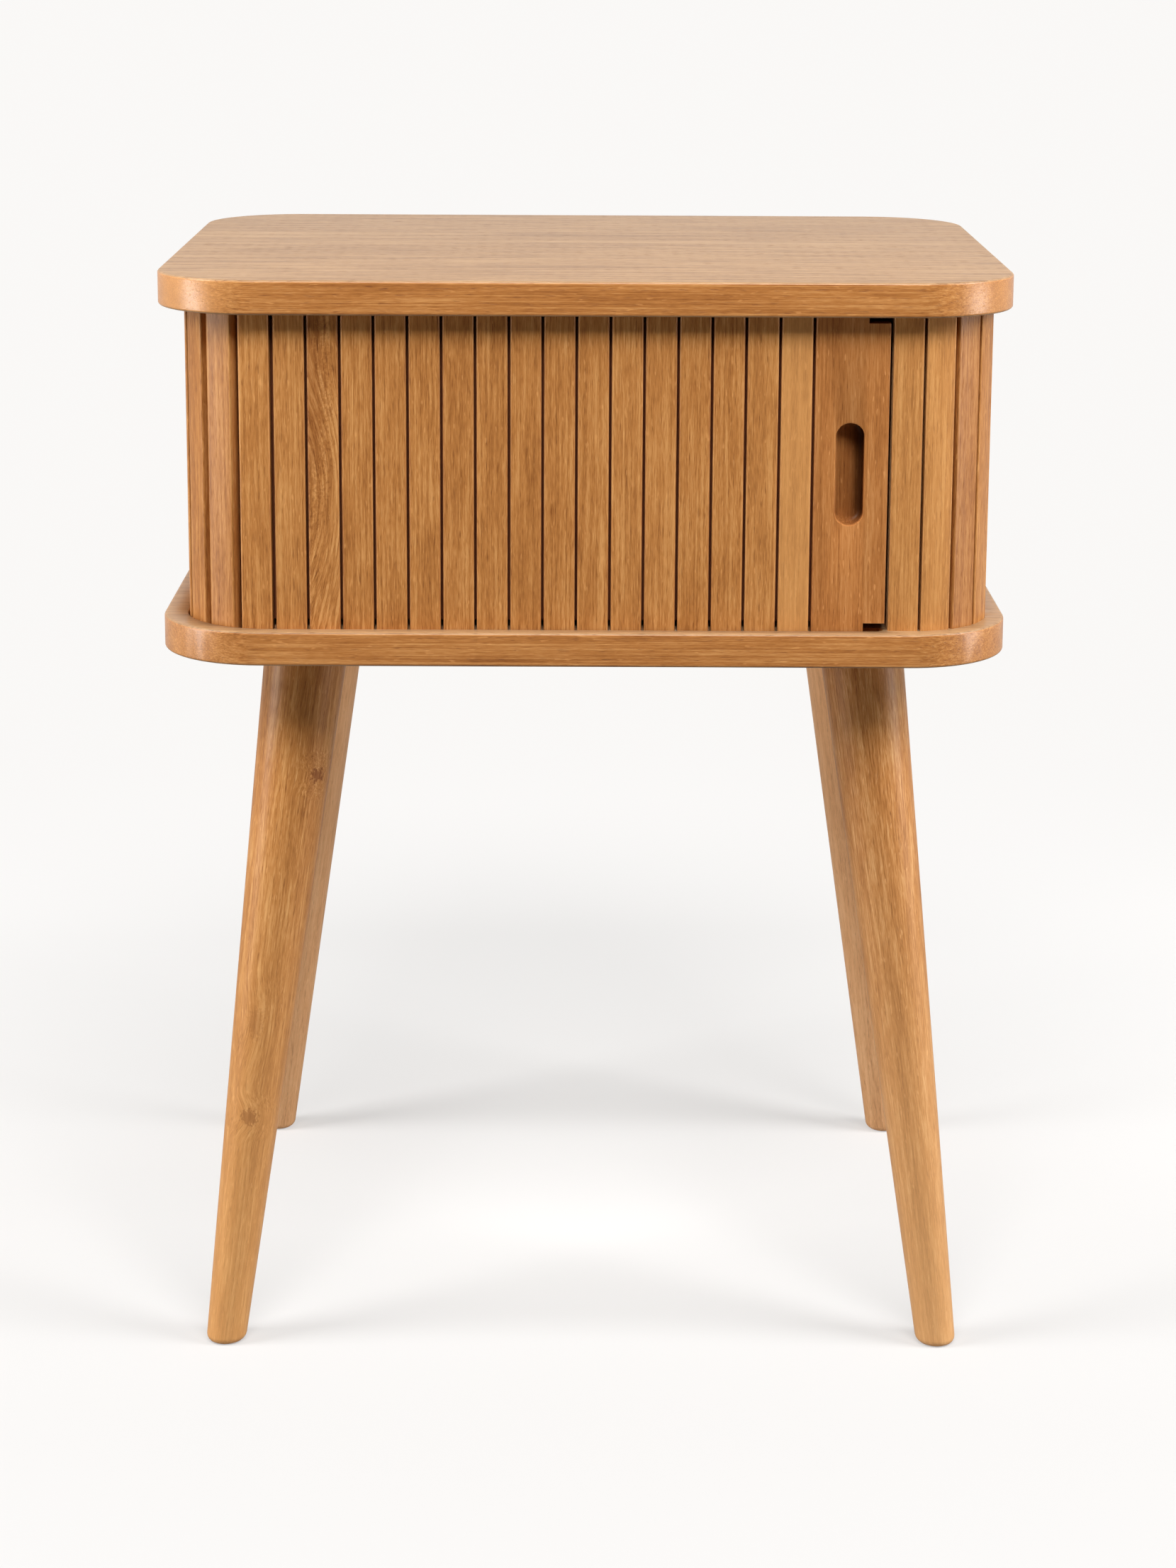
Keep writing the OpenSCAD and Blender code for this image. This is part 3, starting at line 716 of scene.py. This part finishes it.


# ---------------------------------------------------------------- legs

# painted light: the front legs grow paler towards their feet, and the back legs towards their
# tops
for name, sx, sy, material, shift, foot_painted_light, top_painted_light in (
        ("leg_front_left", -1, -1, LEG_KNOT_OAK, (0.034, 0.060, 0.0), 0.70, 0.0),
        ("leg_front_right", 1, -1, LEG_OAK, (0.020, 0.075, 0.9), 0.80, -0.05),
        ("leg_back_left", -1, 1, BACK_LEG_PAINTED_LIGHT_OAK, (0.055, 0.040, 1.7), 0.3, 0.6),
        ("leg_back_right", 1, 1, BACK_LEG_PAINTED_LIGHT_OAK, (0.040, 0.055, 2.6), 0.3, 0.6)):
    mirror = Vector((sx, sy, 1))
    top, foot = LEG_TOP * mirror, LEG_FOOT * mirror
    length = (top - foot).length
    taper = (LEG_TOP_R - LEG_FOOT_R) / length
    turn = (top - foot).normalized().to_track_quat("Z", "Y")
    deselect()
    bpy.ops.mesh.primitive_cone_add(
        vertices=LEG_SIDES, radius1=LEG_FOOT_R - LEG_SPARE * taper,
        radius2=LEG_TOP_R + LEG_SPARE * taper, depth=length + 2 * LEG_SPARE,
        location=(top + foot) / 2, rotation=turn.to_euler())
    leg = bpy.context.object
    leg.name = name + "_oak"
    settle(leg)
    # both ends are cut level
    bpy.ops.object.mode_set(mode="EDIT")
    for height, outer in ((UNDER_Z, True), (0.0, False)):
        bpy.ops.mesh.select_all(action="SELECT")
        bpy.ops.mesh.bisect(plane_co=(0, 0, height), plane_no=(0, 0, 1), use_fill=True,
                            clear_outer=outer, clear_inner=not outer)
    bpy.ops.object.mode_set(mode="OBJECT")
    bevel_edges(leg, lambda a, b: near(a.z, 0) and near(b.z, 0), LEG_FOOT_ROUND, 5)
    lay_grain(leg, turn.to_matrix().inverted(), foot, shift, foot_painted_light, top_painted_light, length)
    smooth(leg)
    dress(leg, material)
    set_in(leg, "leg_oak", name)


# ---------------------------------------------------------------- floor and backdrop

WHITE = (0.96, 0.945, 0.93, 1)


def floor_paint():
    """Near the table the floor is pale enough to take its shadow. The rest of its white is
    a glow that only the camera and mirrors see."""
    material, tree, shader = new_material("floor_paint")
    shader.inputs["Roughness"].default_value = 0.9
    shader.inputs["Specular IOR Level"].default_value = 0.0
    shader.inputs["Emission Color"].default_value = WHITE
    own = put(tree, "ShaderNodeTexCoord")["Object"]
    depth = put(tree, "ShaderNodeSeparateXYZ", i0=own)["Y"]
    reach = vector_node(tree, "LENGTH", own)[1]
    pale = math_node(tree, "MULTIPLY", spread(tree, reach, 0.55, 1.5, 0.40, 0.0),
                     spread(tree, depth, -0.6, 0.1, 0.55, 1.0))
    tree.links.new(ramp(tree, pale, (0.0, (0, 0, 0)), (1.0, (1, 0.99, 0.98))),
                   shader.inputs["Base Color"])
    # the floor gets more lamp light under the front lamp and less far behind
    lit = math_node(tree, "SUBTRACT", spread(tree, depth, -0.30, 0.25, 1.63, 1.07),
                    spread(tree, depth, 0.3, 2.4, 0.0, 0.72))
    paint = math_node(tree, "MULTIPLY", math_node(tree, "MULTIPLY", pale, lit), 1.04)
    glow = math_node(tree, "SUBTRACT", 0.996, paint)
    mirrored = math_node(tree, "MULTIPLY", spread(tree, reach, 0.6, 2.0, 0.0, 0.9),
                         spread(tree, depth, -0.5, 0.8, 0.15, 1.0))
    path = put(tree, "ShaderNodeLightPath")
    tree.links.new(total(tree, (path["Is Camera Ray"], glow), (path["Is Glossy Ray"], mirrored)),
                   shader.inputs["Emission Strength"])
    return material


def backdrop():
    """White to the camera. Mirrors and glass see it white behind the table and dim in front
    of it."""
    world = bpy.data.worlds.new("studio")
    world.use_nodes = True
    tree = world.node_tree
    back = tree.nodes["Background"]
    back.inputs["Color"].default_value = WHITE
    way = put(tree, "ShaderNodeSeparateXYZ",
              i0=put(tree, "ShaderNodeTexCoord")["Generated"])["Y"]
    path = put(tree, "ShaderNodeLightPath")
    mirrored = math_node(tree, "MULTIPLY", spread(tree, way, -0.5, 0.3, 0.05, 1.0), math_node(
        tree, "MAXIMUM", path["Is Glossy Ray"], path["Is Transmission Ray"]))
    seen = math_node(tree, "MAXIMUM", path["Is Camera Ray"], mirrored)
    strength = math_node(tree, "ADD", math_node(tree, "MULTIPLY", seen, 0.95), 0.05)
    tree.links.new(strength, back.inputs["Strength"])
    return world


deselect()
bpy.ops.mesh.primitive_circle_add(vertices=96, radius=30, fill_type="NGON", location=(0, 0, 0))
ground = bpy.context.object
ground.name = "studio_floor"
dress(ground, floor_paint())
bpy.context.scene.world = backdrop()


# ---------------------------------------------------------------- lamps

def softbox(name, place, target, width, height, power):
    deselect()
    bpy.ops.object.light_add(type="AREA", location=place)
    lamp = bpy.context.object
    lamp.name = name
    lamp.data.shape = "RECTANGLE"
    lamp.data.size = width
    lamp.data.size_y = height
    lamp.data.energy = power
    lamp.visible_camera = False
    aim = Vector(target) - Vector(place)
    lamp.rotation_euler = aim.to_track_quat("-Z", "Y").to_euler()


softbox("left_softbox", (-1.80, -0.55, 1.70), (0, 0, 0.4), 0.9, 1.2, 36)
softbox("right_softbox", (1.80, -0.55, 1.70), (0, 0, 0.4), 0.9, 1.2, 40)
softbox("front_softbox", (0.15, -1.45, 2.30), (0, 0, 0.4), 1.6, 0.8, 54)
# the low lamps stay under the top board's face, which would mirror them
softbox("left_low_lamp", (-1.65, -0.46, 0.34), (0, 0, 0.30), 0.60, 0.42, 12)
softbox("right_low_lamp", (1.65, -0.46, 0.34), (0, 0, 0.30), 0.60, 0.42, 9)


# ---------------------------------------------------------------- camera

CAMERA_PLACE = (-0.00486, -1.8685, 0.78385)
YAW, PITCH, ROLL = 0.0039, 0.2061, 0.005
# focal length and height of the photograph in its pixels, the sensor in millimetres, and
# how far the frame is shifted, as a share of the sensor
FOCAL_PIXELS = 4698.5
PHOTO_PIXELS = 2212
SENSOR = 36
SHIFT_Y = -0.1302

camera_data = bpy.data.cameras.new("camera")
camera = bpy.data.objects.new("camera", camera_data)
bpy.context.scene.collection.objects.link(camera)
bpy.context.scene.camera = camera
forward = Vector((math.sin(YAW) * math.cos(PITCH), math.cos(YAW) * math.cos(PITCH),
                  -math.sin(PITCH)))
right = Vector((math.cos(YAW), -math.sin(YAW), 0))
up = right.cross(forward)
across = right * math.cos(ROLL) + up * math.sin(ROLL)
upward = up * math.cos(ROLL) - right * math.sin(ROLL)
camera.matrix_world = Matrix.Translation(CAMERA_PLACE) @ Matrix(
    (across, upward, -forward)).transposed().to_4x4()
camera_data.sensor_width = SENSOR
camera_data.lens = FOCAL_PIXELS / PHOTO_PIXELS * SENSOR
camera_data.shift_y = SHIFT_Y
camera_data.clip_end = 100

bpy.context.scene.view_settings.view_transform = "Standard"
